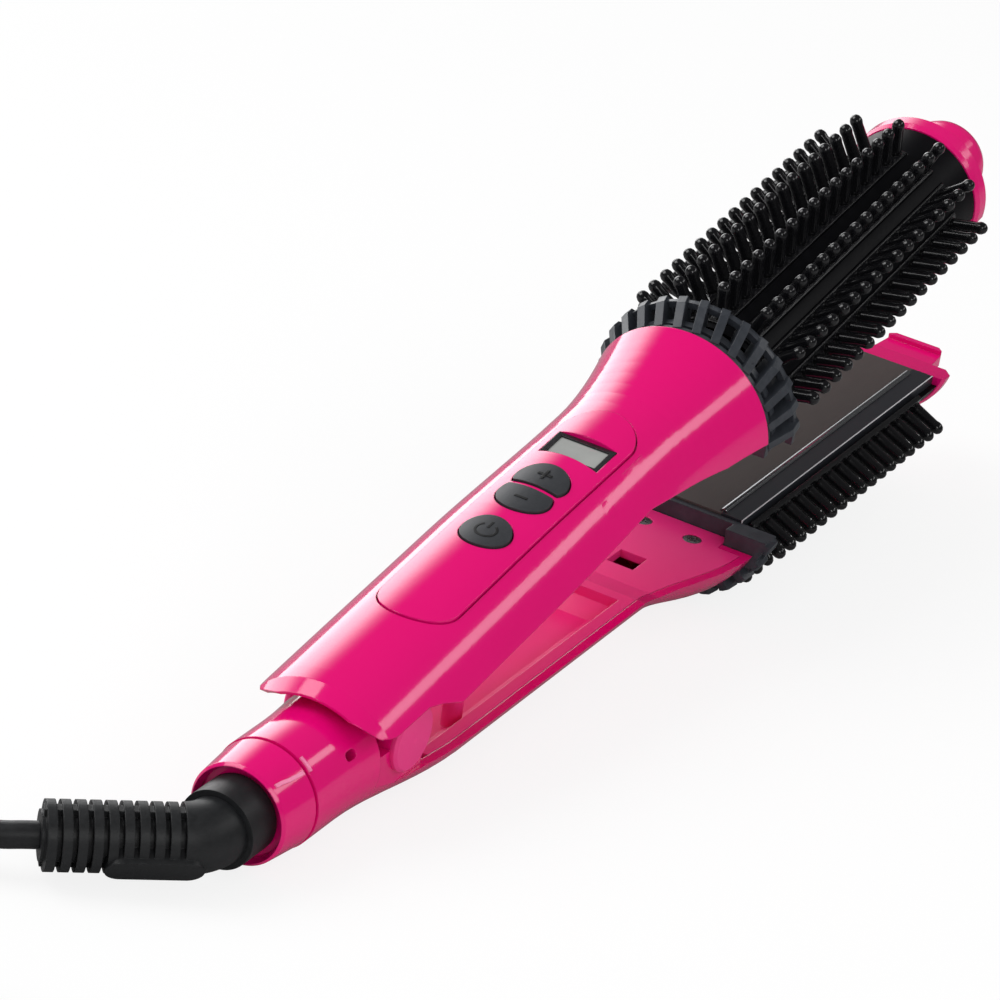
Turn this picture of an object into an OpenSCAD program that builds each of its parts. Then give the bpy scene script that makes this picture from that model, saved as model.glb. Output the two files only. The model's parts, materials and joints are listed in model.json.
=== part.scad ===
// Hair straightening brush: two hinged arms, each half a round hot brush with a flat
// heated plate on its inner side. The body rests on its lowest pins and on its tail.

/* [Arms] */
// Radius of the tail behind the hinge
tail_r = 11.9; // [10:0.1:13]
// Radius of the lower grip
grip_r = 15.8; // [14:0.1:17.5]
// Radius of the upper grip
top_grip_r = 19.4; // [18:0.1:21]
// Radius of both flares at the heat guards
flare_r = 22.3; // [21:0.1:24]
// Wall of the grip shells
wall = 2; // [1.4:0.1:2.4]
// Place of the flares' front faces along the arms
flare_x = 180; // [176:0.5:184]
// Height of the upper grip's side edge above the brush axis
top_edge_z = 7.5; // [6.5:0.1:8.5]
// Depth of the lower deck below the brush axis
deck_drop = 8.4; // [7.5:0.1:9.5]

/* [Hinge] */
// Place of the hinge pin along the arms
hinge_x = 44.3; // [42:0.1:47]
// Height of the hinge pin above the brush axis
hinge_z = 3; // [2:0.1:3.6]
// Radius of the hinge pin
pin_r = 2; // [1.5:0.1:2.5]
// Radius of the hinge ears and their covers
ear_r = 7.3; // [6.5:0.1:7.6]
// Angle between the arms at rest
open_deg = 9.5; // [4:0.5:14]

/* [Brush] */
// Radius of the heated barrel
barrel_r = 17; // [15:0.1:18]
// Wall of the barrel
barrel_wall = 2.4; // [2:0.1:3]
// Length of the heated barrel
barrel_l = 107; // [95:1:112]
// Radius out to the ball tips
tip_r = 26.7; // [24:0.1:28]
// Radius of one pin
strand_r = 0.9; // [0.6:0.05:1.1]
// Radius of one ball tip
ball_r = 1.15; // [1.1:0.05:1.4]
// Distance between pins in a row
pin_pitch = 5.57; // [5:0.01:5.8]
// Pins in each row
row_pins = 17; // [12:1:17]
// Angle between the rows of pins
row_deg = 26; // [22:1:27]
// Width of the strip that carries a row
strip_w = 4.4; // [3:0.1:5]

/* [Plates] */
// Half width of the heated plates
plate_half_w = 14.4; // [13:0.1:14.6]
// Thickness of the heated plates
plate_t = 2.2; // [1.6:0.1:2.6]
// Depth of the lower plate's face below the brush axis
plate_drop = 4; // [3.6:0.1:4.6]
// Gap between the plates when the arms are closed
plate_gap = 0.5; // [0.4:0.1:0.9]
// Distance of the chrome rails from the middle
rail_y = 8.8; // [7:0.1:10]
// Radius of the chrome rails
rail_r = 0.9; // [0.6:0.1:1]

/* [Heat guards] */
// Radius of the guards' rim
guard_r = 25; // [24.4:0.1:25.3]
// Length of the guards along the arm
guard_l = 11; // [9:0.5:12]
// Angle between the fins
fin_deg = 12.5; // [11.5:0.5:12.5]
// Thickness of a fin
fin_t = 2; // [1.2:0.1:2.4]
// Radius of the ribs that link the upper guard's fins halfway
rib_r = 21.4; // [20:0.1:21.8]
// Slant of a fin
fin_slant = 16; // [0:1:20]

/* [Control panel] */
// Rear end of the panel
panel_x0 = 58.5; // [56:0.5:62]
// Front end of the panel
panel_x1 = 147.5; // [145:0.5:149]
// Half width of the panel
panel_half_w = 8.9; // [8.6:0.1:9.4]
// Height of the panel above the grip
panel_rise = 0.35; // [0.1:0.05:0.6]
// Place of the power button
power_x = 92.6; // [90:0.1:93]
// Radius of the power button
power_r = 5.5; // [5:0.1:5.8]
// Place between the minus and plus buttons
pair_x = 112; // [111.5:0.1:112.5]
// Radius of the minus and plus buttons
pair_r = 6; // [5.4:0.1:6.2]
// Travel of a button
button_travel = 0.6; // [0.3:0.1:0.6]
// Place of the display
display_x = 131.3; // [131:0.1:133]
// Half length of the display along the arm
display_half_l = 4.5; // [4:0.1:4.8]
// Half width of the display
display_half_w = 7; // [6:0.1:7.2]

/* [Tail and cord] */
// Length of the lock ring
ring_l = 10.5; // [9:0.5:12]
// Radius of the lock ring's rear
ring_rear_r = 10.8; // [10.4:0.1:11.4]
// Radius of the lock ring's front
ring_front_r = 11.7; // [11.4:0.1:12.5]
// Radius of the swivel collar
collar_r = 8.3; // [7.6:0.1:8.4]
// Turn of the cord's elbow
elbow_deg = 50; // [40:1:60]
// Length of the ribbed strain relief
boot_l = 27; // [24:0.5:34]
// Radius of the strain relief's ribs
boot_r = 6.9; // [6:0.1:7.5]
// Ribs on the strain relief
boot_ribs = 9; // [6:1:10]
// Diameter of the cord
cord_d = 5.5; // [5:0.1:6]

/* [Hidden] */

$fn = 48;
pink = [0.886, 0, 0.455];
dark = [0.24, 0.25, 0.27];
black = [0.05, 0.05, 0.05];
steel = [0.75, 0.76, 0.78];
gap = 0.3;
fit = 0.1;
pin_fit = 0.05;
far = 400;
step = 4;

// Arms, from the rear face of the lock ring along the brush axis
tail_x = ring_l + gap;
tail_end_x = 33;
waist_x = 147;
top_rear_x = 27.3;
lower_front_x = flare_x + 6;
head_x = flare_x + guard_l + 1;
head_x1 = head_x + barrel_l;
rim_z = -6;
deck_z = -deck_drop;
deck_t = 2;
tongue_x = head_x - 2.3;
tongue_half_w = 12.7;
channel_z = -11.4;
channel_half_w = 9.4;
channel_x0 = 57.5;
channel_x1 = 141;
channel_slope = 4;
tray_t = 1.4;
ear_mid = 10.4;
ear_t = 3.2;
cover_x0 = hinge_x + ear_r + 3;
deck_screw_x = 183.5;
deck_screw_y = 6.4;
boss_r = 2.8;
base_t = 1.8;
base_x0 = 56;
base_screw_y = 12.1;
base_screws_x = [70, 122];
hook_x = 163.6;
hook_half_w = 2.4;
hole_l = 7;
hole_w = 6.7;
elbow_x = -7;
elbow_bend = 9;
elbow_r = 7;
tab_x1 = head_x1 + 24;
tab_r = 13.5;

function unit(t) = min(1, max(0, t));
function ease(t) = let (u = unit(t)) u * u * (3 - 2 * u);
function lower_r(x) = tail_r + (grip_r - tail_r) * ease((x - 22) / 44)
                    + (flare_r - grip_r) * ease((x - waist_x) / (flare_x + 4 - waist_x));
function upper_r(x) = top_grip_r - 1 * ease((x - 95) / 55) - 1.2 * pow(1 - unit((x - top_rear_x) / 5), 2)
                    + (flare_r - top_grip_r + 1) * pow(unit((x - 152) / (flare_x - 152)), 1.7);

// Rest attitude: nose up, on the rearmost low pins and the rear edge of the tail housing
low_deg = 90 - row_deg / 2;
low_pin_x = head_x + 4.5;
low_pin_z = -(tip_r - ball_r) * sin(low_deg);
drop_x = low_pin_x - tail_x;
drop_z = low_pin_z + tail_r;
tilt = atan2(-drop_z, drop_x) + asin(ball_r / norm([drop_x, drop_z]));
lift = tail_r * cos(tilt) - tail_x * sin(tilt);
mid_x = ((tab_x1 + elbow_x) * cos(tilt) + (tab_r - collar_r) * sin(tilt)) / 2;

module place_lower() translate([-mid_x, 0, lift]) rotate([0, -tilt, 0]) children();
module place_upper() place_lower() translate([hinge_x, 0, hinge_z]) rotate([0, -open_deg, 0])
    translate([-hinge_x, 0, -hinge_z]) children();

// Turned body about the arm's axis from a profile of [radius, place] points
module turned(points) rotate([0, 90, 0]) rotate_extrude($fn = 96) polygon(points);
module tube_x(x0, x1, r) translate([x0, 0, 0]) rotate([0, 90, 0]) cylinder(h = x1 - x0, r = r);
module block(x0, x1, half_w, z0, z1) translate([x0, -half_w, z0]) cube([x1 - x0, 2 * half_w, z1 - z0]);
module side_cut(points) translate([0, far / 2, 0]) rotate([90, 0, 0]) linear_extrude(far) polygon(points);

function lower_profile(x0, x1, inset) = concat([[0, x0]],
    [for (i = [0 : ceil((x1 - x0) / step)]) let (x = min(x1, x0 + i * step)) [lower_r(x) - inset, x]],
    [[0, x1]]);
function upper_profile(x0, x1, inset) = concat([[0, x0]],
    [for (i = [0 : ceil((x1 - x0) / step)]) let (x = min(x1, x0 + i * step)) [upper_r(x) - inset, x]],
    [[0, x1]]);

// Lower arm
module rim_side(floor_z) side_cut([[tail_end_x, floor_z], [lower_front_x, floor_z], [lower_front_x, deck_z],
    [waist_x + 6, deck_z], [waist_x - 3, rim_z], [tail_end_x, rim_z]]);
module shell_room(inset) turned(lower_profile(tail_end_x + wall + inset, lower_front_x - wall - inset, wall + inset));
module at_deck_screws() for (s = [-1, 1]) translate([deck_screw_x, s * deck_screw_y, deck_z - screw_sink]) children();

module lower_handle_shell() color(pink) place_lower() difference() {
    union() {
        difference() {
            intersection() {
                turned(lower_profile(tail_end_x, lower_front_x, 0));
                rim_side(-30);
            }
            shell_room(0);
            block(lower_front_x - wall - 1, lower_front_x + 1, tongue_half_w + fit, deck_z - deck_t, 0);
        }
        intersection() {
            turned(lower_profile(tail_end_x, lower_front_x, wall / 2));
            translate([0, 0, screw_sink - deck_t - 30]) at_deck_screws() cylinder(h = 30, r = boss_r);
        }
        ears();
    }
    at_deck_screws() translate([0, 0, -screw_l - 0.5]) cylinder(h = screw_l, r = screw_r + pin_fit);
    hinge_bore(pin_r + pin_fit / 2, 30);
}

// Small hollow post in the channel, on the tray's floor
post_x = 77;
post_y = -4.7;
post_r = 2.2;
post_wall = 0.9;
post_top_z = -5;
module channel_post() intersection() {
    shell_room(fit);
    translate([post_x, post_y, channel_z - tray_t]) difference() {
        cylinder(h = post_top_z - channel_z + tray_t, r = post_r);
        translate([0, 0, 2 * tray_t]) cylinder(h = 20, r = post_r - post_wall);
    }
}
module lower_handle_cover() color(pink) place_lower() {
    channel_post();
    lower_deck();
}
module lower_deck() difference() {
    union() {
        intersection() {
            shell_room(fit);
            rim_side(deck_z - deck_t);
            block(cover_x0, lower_front_x, 30, -30, 0);
        }
        intersection() {
            shell_room(fit);
            block(cover_x0, channel_x1 + tray_t, channel_half_w + tray_t, channel_z - tray_t, deck_z);
        }
        translate([0, 0, deck_z - deck_t]) linear_extrude(deck_t)
            polygon([[lower_front_x - wall - 2, -tongue_half_w], [tongue_x - 1.2, -tongue_half_w],
                     [tongue_x, 1.2 - tongue_half_w], [tongue_x, tongue_half_w - 1.2],
                     [tongue_x - 1.2, tongue_half_w], [lower_front_x - wall - 2, tongue_half_w]]);
    }
    intersection() {
        shell_room(fit + tray_t);
        block(channel_x0, channel_x1, channel_half_w, channel_z, 10);
        side_cut([[channel_x0, channel_z], [channel_x1 - channel_slope, channel_z], [channel_x1, deck_z],
                  [channel_x1, 10], [channel_x0, 10]]);
    }
    block(hook_x - hole_l / 2, hook_x + hole_l / 2, hole_w / 2, -30, 0);
    at_deck_screws() {
        translate([0, 0, -10]) cylinder(h = 20, r = screw_r + fit);
        cylinder(h = 5, r = screw_head_r + fit);
    }
}

module hinge_bore(r, half) translate([hinge_x, half, hinge_z]) rotate([90, 0, 0]) cylinder(h = 2 * half, r = r);
module ears() for (s = [-1, 1]) {
    translate([hinge_x, s * ear_mid, hinge_z]) rotate([90, 0, 0]) cylinder(h = ear_t, r = ear_r, center = true);
    intersection() {
        turned(lower_profile(tail_end_x, lower_front_x, 0));
        translate([tail_end_x, s * ear_mid - ear_t / 2, deck_z - deck_t])
            cube([hinge_x + ear_r - 0.5 - tail_end_x, ear_t, hinge_z - deck_z + deck_t]);
    }
}

screw_r = 1.15;
screw_head_r = 2.15;
screw_sink = 1;
screw_l = 5;
module deck_screws() color(steel) place_lower() at_deck_screws() screw_body(screw_l);
module screw_body(l) difference() {
    union() {
        translate([0, 0, 0.05]) cylinder(h = 0.8, r = screw_head_r);
        translate([0, 0, -l]) cylinder(h = l + 0.2, r = screw_r);
    }
    for (a = [0, 90]) rotate(a) translate([-1.3, -0.25, 0.4]) cube([2.6, 0.5, 2]);
}

journal_r = 7.1;
flange_r = 7.8;
flange_x = 8.4;
flange_t = 2;
lip_x = 2.1;
ring_bore_r = 10;
// Small slots in both flanks of the housing, by the upper arm's rear edge
slot_x = 24.5;
slot_deg = 56;
module flank_slots() for (s = [-1, 1]) rotate([s * slot_deg, 0, 0]) translate([slot_x, 0, journal_r])
    linear_extrude(10) stadium(-1.7, 1.7, 1);
module tail_housing() color(pink) place_lower() difference() {
    union() {
        turned(lower_profile(tail_x, tail_end_x, 0));
        tube_x(lip_x + gap, tail_x + 1, ring_bore_r - gap);
    }
    flank_slots();
    tube_x(0, tail_end_x - 3, journal_r + fit);
    tube_x(flange_x - fit, flange_x + flange_t + fit, flange_r + fit);
    tube_x(20, tail_end_x + 1, 9);
}

ring_play = 1.2;
module lock_ring() color(pink) place_lower() turned([[collar_r + ring_play, 1.6], [ring_rear_r - 0.6, 0],
    [ring_rear_r, 0.7], [ring_front_r, ring_l - 0.4], [ring_front_r - 0.4, ring_l], [ring_bore_r, ring_l],
    [ring_bore_r, lip_x], [collar_r + ring_play, lip_x]]);

pin_half_l = ear_mid + ear_t / 2;
module hinge_pin() color(steel) place_lower() hinge_bore(pin_r, pin_half_l);
module hinge_covers() color(pink) place_lower() for (s = [0, 1]) mirror([0, s, 0])
    translate([hinge_x, -pin_half_l, hinge_z]) rotate([90, 0, 0]) rotate_extrude($fn = 64)
        polygon([[0, 0], [ear_r, 0], [ear_r, 0.8], [ear_r - 0.6, 1.4], [0, 1.6]]);

spring_turns = 2;
spring_rings = 16;
spring_wire_r = 0.5;
spring_r = 3.4;
spring_pitch = 1.5;
spring_y = 4.9;
module arm_spring() color(steel) place_lower() translate([hinge_x, 0, hinge_z]) rotate([-90, 0, 0])
    swept([for (i = [0 : spring_turns * spring_rings]) let (a = i * 360 / spring_rings)
           [spring_r * cos(a), spring_r * sin(a), spring_y + spring_pitch * i / spring_rings]], spring_wire_r, 6);

// A straight sided tube along points, with its sides square to each stretch
function along(p, i) = let (n = len(p) - 1, a = p[max(0, i - 1)], b = p[min(n, i + 1)]) (b - a) / norm(b - a);
function frames(p, i = 0, last = undef, out = []) = i >= len(p) ? out :
    let (t = along(p, i),
         u0 = is_undef(last) ? (abs(t[2]) < 0.9 ? [0, 0, 1] : [1, 0, 0]) : last,
         u1 = u0 - (u0 * t) * t, u = u1 / norm(u1))
    frames(p, i + 1, u, concat(out, [[u, cross(t, u)]]));
module swept(p, r, sides) {
    f = frames(p);
    n = len(p);
    points = [for (i = [0 : n - 1]) for (k = [0 : sides - 1]) let (a = 360 * k / sides)
              p[i] + r * (cos(a) * f[i][0] + sin(a) * f[i][1])];
    walls = [for (i = [0 : n - 2]) for (k = [0 : sides - 1])
             let (a = i * sides + k, b = i * sides + (k + 1) % sides) each [[a, a + sides, b], [b, a + sides, b + sides]]];
    rear = [for (k = [1 : sides - 2]) [0, k, k + 1]];
    nose = [for (k = [1 : sides - 2]) let (o = (n - 1) * sides) [o, o + k + 1, o + k]];
    polyhedron(points, concat(walls, rear, nose));
}

// Heads
strip_h = 1.4;
strip_seat = barrel_r - 1;
upper_rows = [for (i = [-3 : 3]) 90 + i * row_deg];
lower_rows = [for (i = [-2.5 : 2.5]) -90 + i * row_deg];
pin_x0 = low_pin_x;
strip_x0 = pin_x0 - 2.5;
strip_x1 = pin_x0 + (row_pins - 1) * pin_pitch + 2.5;

module barrel(z0, z1, rows) difference() {
    intersection() {
        tube_x(head_x, head_x1, barrel_r);
        block(head_x, head_x1, barrel_r + 1, z0, z1);
    }
    tube_x(head_x - 1, head_x1 + 1, barrel_r - barrel_wall);
    for (a = rows) rotate([a - 90, 0, 0])
        translate([strip_x0 - 0.1, -strip_w / 2 - 0.1, strip_seat]) cube([strip_x1 - strip_x0 + 0.2, strip_w + 0.2, 5]);
}

module bristles(rows) for (a = rows) rotate([a - 90, 0, 0]) {
    translate([strip_x0, -strip_w / 2, strip_seat]) cube([strip_x1 - strip_x0, strip_w, strip_h]);
    for (i = [0 : row_pins - 1]) translate([pin_x0 + i * pin_pitch, 0, strip_seat + 0.5]) {
        cylinder(h = tip_r - ball_r - strip_seat - 0.5, r = strand_r);
        translate([0, 0, tip_r - ball_r - strip_seat - 0.5]) sphere(ball_r);
    }
}

lower_face = -plate_drop;
upper_face = lower_face + plate_gap;
lower_seat = lower_face - plate_t;
upper_seat = upper_face + plate_t;

module lower_barrel() color(black) place_lower() barrel(-30, lower_seat, lower_rows);
module upper_barrel() color(black) place_upper() barrel(upper_seat, 30, upper_rows);
module lower_bristles() color(black) place_lower() bristles(lower_rows);
module upper_bristles() color(black) place_upper() bristles(upper_rows);

rail_z = lower_face - 0.2;
rail_room = 0.4;
module rails(x0, x1, r) for (s = [-1, 1]) translate([0, s * rail_y, rail_z]) tube_x(x0, x1, r);
module lower_plate() color([0.28, 0.24, 0.24]) place_lower() difference() {
    block(head_x, head_x1, plate_half_w, lower_seat, lower_face);
    rails(head_x + 1, head_x1 - 3, rail_r);
}
module plate_rails() color(steel) place_lower() rails(head_x + 1 + pin_fit, head_x1 - 3 - pin_fit, rail_r - pin_fit / 2);
module upper_plate() color([0.28, 0.24, 0.24]) place_upper() difference() {
    block(head_x, head_x1, plate_half_w, upper_face, upper_seat);
    for (s = [-1, 1]) translate([0, s * rail_y, 0])
        block(head_x - 1, head_x1 + 1, rail_r + rail_room, upper_face - 1, rail_z + rail_r + rail_room);
}
module heater(z0, z1) {
    block(head_x + 8, head_x1 - 8, 8, z0, z1);
    for (s = [-1, 1]) translate([head_x + 2, s * 5 - 1, (z0 + z1) / 2 - 0.4]) cube([7, 2, 0.8]);
}
module lower_heater() color([0.85, 0.8, 0.7]) place_lower() heater(lower_seat - 2.6, lower_seat);
module upper_heater() color([0.85, 0.8, 0.7]) place_upper() heater(upper_seat, upper_seat + 2.6);
module fuse(z) translate([head_x + 30, 0, z]) rotate([0, 90, 0]) cylinder(h = 14, r = 1.5);
module lower_thermal_fuse() color("white") place_lower() fuse(lower_seat - 2.6 - 1.5);
module upper_thermal_fuse() color("white") place_upper() fuse(upper_seat + 2.6 + 1.5);

// Heat guard: a collar, slanted fins, and the thin rim that links them
module fin() rotate([90, 0, 0]) linear_extrude(fin_t, center = true)
    polygon([[flare_x + 1, barrel_r + 0.4], [flare_x + 1, flare_r - 0.4], [flare_x + guard_l - 4, guard_r],
             [flare_x + guard_l - 1, guard_r], [flare_x + guard_l, guard_r - 1.2],
             [flare_x + guard_l, barrel_r + 3.4], [flare_x + 6, barrel_r + 0.4]]);
module guard_ring(fins, base_x) {
    turned([[barrel_r - 2, base_x], [flare_r - 0.6, base_x], [flare_r - 0.6, base_x + 1.7],
            [barrel_r + 1.6, base_x + 1.7], [barrel_r + 1.6, flare_x + guard_l - 2], [barrel_r - 2, flare_x + guard_l - 2]]);
    turned([[guard_r - 2.4, flare_x + guard_l - 2.4], [guard_r - rim_step, flare_x + guard_l - 2.4],
            [guard_r - rim_step, flare_x + guard_l - 1.2], [guard_r - 1.4, flare_x + guard_l],
            [guard_r - 2.4, flare_x + guard_l]]);
    intersection() {
        for (a = fins) rotate([a - 90, 0, 0]) translate([flare_x + 6, 0, 0]) rotate([0, 0, fin_slant])
            translate([-flare_x - 6, 0, 0]) fin();
        block(base_x, head_x, 40, -40, 40);
    }
}

rim_step = 0.8;
bar_z = lower_face - 0.5;
guard_seat = upper_seat - 2;
rib_x = flare_x + 3.4;
rib_t = 1.8;
module cross_ribs() turned([[barrel_r + 1.2, rib_x], [rib_r, rib_x], [rib_r, rib_x + rib_t], [barrel_r + 1.2, rib_x + rib_t]]);
module upper_heat_guard() color(dark) place_upper() {
    intersection() {
        union() {
            guard_ring([for (i = [-7 : 7]) 90 + i * fin_deg], flare_x + gap);
            cross_ribs();
        }
        block(flare_x, head_x, 40, guard_seat, 40);
    }
    block(flare_x + gap, head_x - gap, barrel_r - 3, guard_seat, 8);
}
module lower_heat_guard() color(dark) place_lower() difference() {
    union() {
        intersection() {
            guard_ring([for (i = [-6 : 6]) i * fin_deg - 90], lower_front_x + gap);
            block(lower_front_x, head_x, 40, -40, bar_z);
        }
        intersection() {
            block(lower_front_x + gap, head_x - gap, 30, -12, bar_z);
            tube_x(lower_front_x, head_x, guard_r - 1.4);
        }
    }
    block(lower_front_x, tongue_x + gap, tongue_half_w + gap, deck_z - deck_t - gap, 0);
}

// Ends
module upper_end_rim() color(pink) place_upper() intersection() {
    turned([[0, head_x1 + gap], [barrel_r + 0.2, head_x1 + gap], [barrel_r + 0.8, head_x1 + 1.6],
            [barrel_r + 0.8, head_x1 + 5], [barrel_r - 0.8, head_x1 + 7], [0, head_x1 + 7]]);
    block(head_x1, head_x1 + 8, 30, upper_face + 0.2, 30);
}
module tip_profile(x0, r, l) turned([[0, x0], [r, x0], for (a = [0 : 15 : 75]) [r * (0.45 + 0.55 * cos(a)), x0 + l - r * 0.55 + r * 0.55 * sin(a)],
                                     [r * 0.45, x0 + l], [0, x0 + l]]);
module cool_tip() color(pink) place_upper() intersection() {
    tip_profile(head_x1 + 7, 10.5, 17);
    block(head_x1, head_x1 + 30, 30, upper_face + 0.2, 30);
}
module lower_end_cap() color(pink) place_lower() difference() {
    union() {
        intersection() {
            turned([[0, head_x1 + gap], [barrel_r + 0.2, head_x1 + gap], [barrel_r + 0.8, head_x1 + 1.6],
                    [barrel_r + 0.8, head_x1 + 4], [barrel_r - 1.4, head_x1 + 6.5], [0, head_x1 + 6.5]]);
            block(head_x1, head_x1 + 8, 30, -30, lower_face - 0.2);
        }
        intersection() {
            tube_x(head_x1 + 5, tab_x1, tab_r);
            translate([0, 0, -30]) linear_extrude(30 + deck_z) tab_outline();
        }
        translate([0, 0, deck_z - 0.5]) linear_extrude(1.7) intersection() {
            tab_outline();
            translate([tab_x1 - 1.8, -10]) square([5, 20]);
        }
    }
    at_cap_screw() {
        cylinder(h = 20, r = screw_head_r + fit);
        translate([0, 0, -cap_screw_l - 0.2]) cylinder(h = 10, r = screw_r + pin_fit);
    }
}
cap_screw_l = 3.4;
module at_cap_screw() translate([head_x1 + 9.5, 0, deck_z - screw_sink]) children();
module tab_outline() polygon([[head_x1 + 5, -10.2], [head_x1 + 11, -8.4], [tab_x1 - 1.5, -7.4],
    [tab_x1, -6], [tab_x1, 6], [tab_x1 - 1.5, 7.4], [head_x1 + 11, 8.4], [head_x1 + 5, 10.2]]);
module cap_screw() color(steel) place_lower() at_cap_screw() screw_body(cap_screw_l);

// Upper arm
panel_base = 15.6;
module stadium(x0, x1, r) {
    translate([x0 + r, 0]) circle(r);
    translate([x1 - r, 0]) circle(r);
    translate([x0 + r, -r]) square([x1 - x0 - 2 * r, 2 * r]);
}
edge_bend_x = waist_x - 12;
edge_low_x = flare_x - 14;
edge_low_z = 1.5;
edge_front_z = 1;
function edge_z(x) = top_edge_z + (edge_low_z - top_edge_z) * unit((x - edge_bend_x) / (edge_low_x - edge_bend_x));
hip_z = top_edge_z + 3.8;
module upper_outline() side_cut([[top_rear_x, 40], [top_rear_x, hip_z + 4.5], [top_rear_x + 2.4, hip_z + 1.3],
    [top_rear_x + 6, hip_z + 0.3], [hinge_x + 1, hip_z], [hinge_x + 5, hip_z - 1.2], [base_x0 - 1, top_edge_z],
    [edge_bend_x, top_edge_z], [edge_low_x, edge_low_z], [flare_x, edge_front_z], [flare_x, 40]]);
// Takes the inside of the shell's rear end down to a thin edge
rear_edge_t = 0.6;
rear_edge_l = 7;
module rear_edge_cut() turned([[0, top_rear_x - 1], [upper_r(top_rear_x) - rear_edge_t, top_rear_x - 1],
    [upper_r(top_rear_x) - rear_edge_t, top_rear_x], [upper_r(top_rear_x + rear_edge_l) - wall, top_rear_x + rear_edge_l],
    [0, top_rear_x + rear_edge_l]]);

// Seat under the rim of the control panel, with a collar up to the shell
seat_z = panel_base - fit;
seat_t = 1.3;
seat_w = 1.2;
module panel_seat() {
    translate([0, 0, seat_z - seat_t]) linear_extrude(seat_t) difference() {
        stadium(panel_x0 - gap - seat_w, panel_x1 + gap + seat_w, panel_half_w + gap + seat_w);
        stadium(panel_x0 + seat_w, panel_x1 - seat_w, panel_half_w - seat_w);
    }
    intersection() {
        turned(upper_profile(top_rear_x, flare_x, wall / 2));
        translate([0, 0, seat_z - seat_t]) linear_extrude(10) difference() {
            stadium(panel_x0 - gap - seat_w, panel_x1 + gap + seat_w, panel_half_w + gap + seat_w);
            stadium(panel_x0 - gap, panel_x1 + gap, panel_half_w + gap);
        }
    }
}
module at_base_screws() for (x = base_screws_x) for (s = [-1, 1])
    translate([x, s * base_screw_y, top_edge_z + screw_sink]) children();

knuckle_r = 5.4;
knuckle_half_w = 4;
module upper_handle_shell() color(pink) place_upper() difference() {
    union() {
        difference() {
            intersection() {
                turned(upper_profile(top_rear_x, flare_x, 0));
                upper_outline();
            }
            turned(upper_profile(top_rear_x - 2, flare_x - wall, wall));
            rear_edge_cut();
            translate([0, 0, 10]) linear_extrude(30) stadium(panel_x0 - gap, panel_x1 + gap, panel_half_w + gap);
        }
        intersection() {
            turned(upper_profile(top_rear_x, flare_x, wall / 2));
            union() {
                block(hinge_x - 4.8, hinge_x + 4.8, knuckle_half_w, hinge_z, 30);
                translate([0, 0, base_t + fit - screw_sink]) at_base_screws() cylinder(h = 30, r = boss_r);
            }
        }
        panel_seat();
        translate([hinge_x, knuckle_half_w, hinge_z]) rotate([90, 0, 0])
            cylinder(h = 2 * knuckle_half_w, r = knuckle_r);
    }
    at_base_screws() cylinder(h = screw_l + 0.3, r = screw_r + pin_fit);
    hinge_bore(pin_r + pin_fit, 30);
}

board_z = 10;
module upper_handle_base() color(pink) place_upper() difference() {
    union() {
        intersection() {
            turned(upper_profile(base_x0, flare_x - wall - gap, wall + gap));
            side_cut([[base_x0, top_edge_z], [edge_bend_x, top_edge_z], [edge_low_x, edge_low_z],
                      [flare_x - wall - gap, edge_low_z], [flare_x - wall - gap, edge_low_z + base_t],
                      [edge_low_x, edge_low_z + base_t], [edge_bend_x, top_edge_z + base_t],
                      [base_x0, top_edge_z + base_t]]);
        }
        for (x = [88, 128]) for (s = [-1, 1]) translate([x, s * 7, top_edge_z + base_t / 2])
            cylinder(h = board_z - top_edge_z - base_t / 2, r = 1.6);
    }
    at_base_screws() {
        translate([0, 0, -5]) cylinder(h = 5, r = screw_head_r + fit);
        translate([0, 0, -1]) cylinder(h = 10, r = screw_r + fit);
    }
}
module base_screws() color(steel) place_upper() at_base_screws() rotate([180, 0, 0]) screw_body(screw_l);

hook_x0 = hook_x - 1.4;
hook_x1 = hook_x + 1;
module latch_hook() color(pink) place_upper() intersection() {
    side_cut([[hook_x0, deck_z - 3.4], [hook_x1 + 1.2, deck_z - 3.4], [hook_x1 + 1.2, deck_z - 2.8],
              [hook_x1, deck_z - 2.2], [hook_x1, edge_z(hook_x1)], [hook_x0, edge_z(hook_x0)]]);
    block(hook_x0 - 1, hook_x1 + 3, hook_half_w, -30, 30);
}

module panel_body(rise) intersection() {
    turned(upper_profile(panel_x0 - 4, panel_x1 + 4, -rise));
    block(panel_x0 - 4, panel_x1 + 4, 14, panel_base, 30);
}
module power_outline(extra) translate([power_x, 0]) circle(power_r + extra);
module plus_outline(extra) intersection() {
    translate([pair_x + 3.6, 0]) circle(pair_r + extra);
    translate([pair_x + 0.8 - extra, -10]) square(20);
}
module minus_outline(extra) intersection() {
    translate([pair_x - 3.6, 0]) circle(pair_r + extra);
    translate([pair_x - 20.8 + extra, -10]) square(20);
}
module display_outline(inset) translate([display_x - display_half_l + inset, -display_half_w + inset])
    square([2 * (display_half_l - inset), 2 * (display_half_w - inset)]);

module control_panel() color(pink) place_upper() difference() {
    intersection() {
        panel_body(panel_rise);
        translate([0, 0, 10]) linear_extrude(30) stadium(panel_x0, panel_x1, panel_half_w);
    }
    translate([0, 0, 10]) linear_extrude(30) {
        power_outline(gap);
        plus_outline(gap);
        minus_outline(gap);
        display_outline(-0.1);
    }
}
module display_bezel() color(dark) place_upper() translate([0, 0, panel_base]) linear_extrude(2.1) difference() {
    display_outline(0);
    display_outline(1.1);
}
module display_window() color([0.72, 0.73, 0.7]) place_upper() translate([0, 0, 16.4]) linear_extrude(0.9)
    display_outline(1.15);
module lcd_module() color([0.4, 0.45, 0.4]) place_upper() translate([0, 0, 11.6]) linear_extrude(4)
    display_outline(1.5);
board_top = board_z + 1.6;
module control_board() color([0.1, 0.4, 0.2]) place_upper() block(84, 138, 8.8, board_z, board_top);
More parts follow.
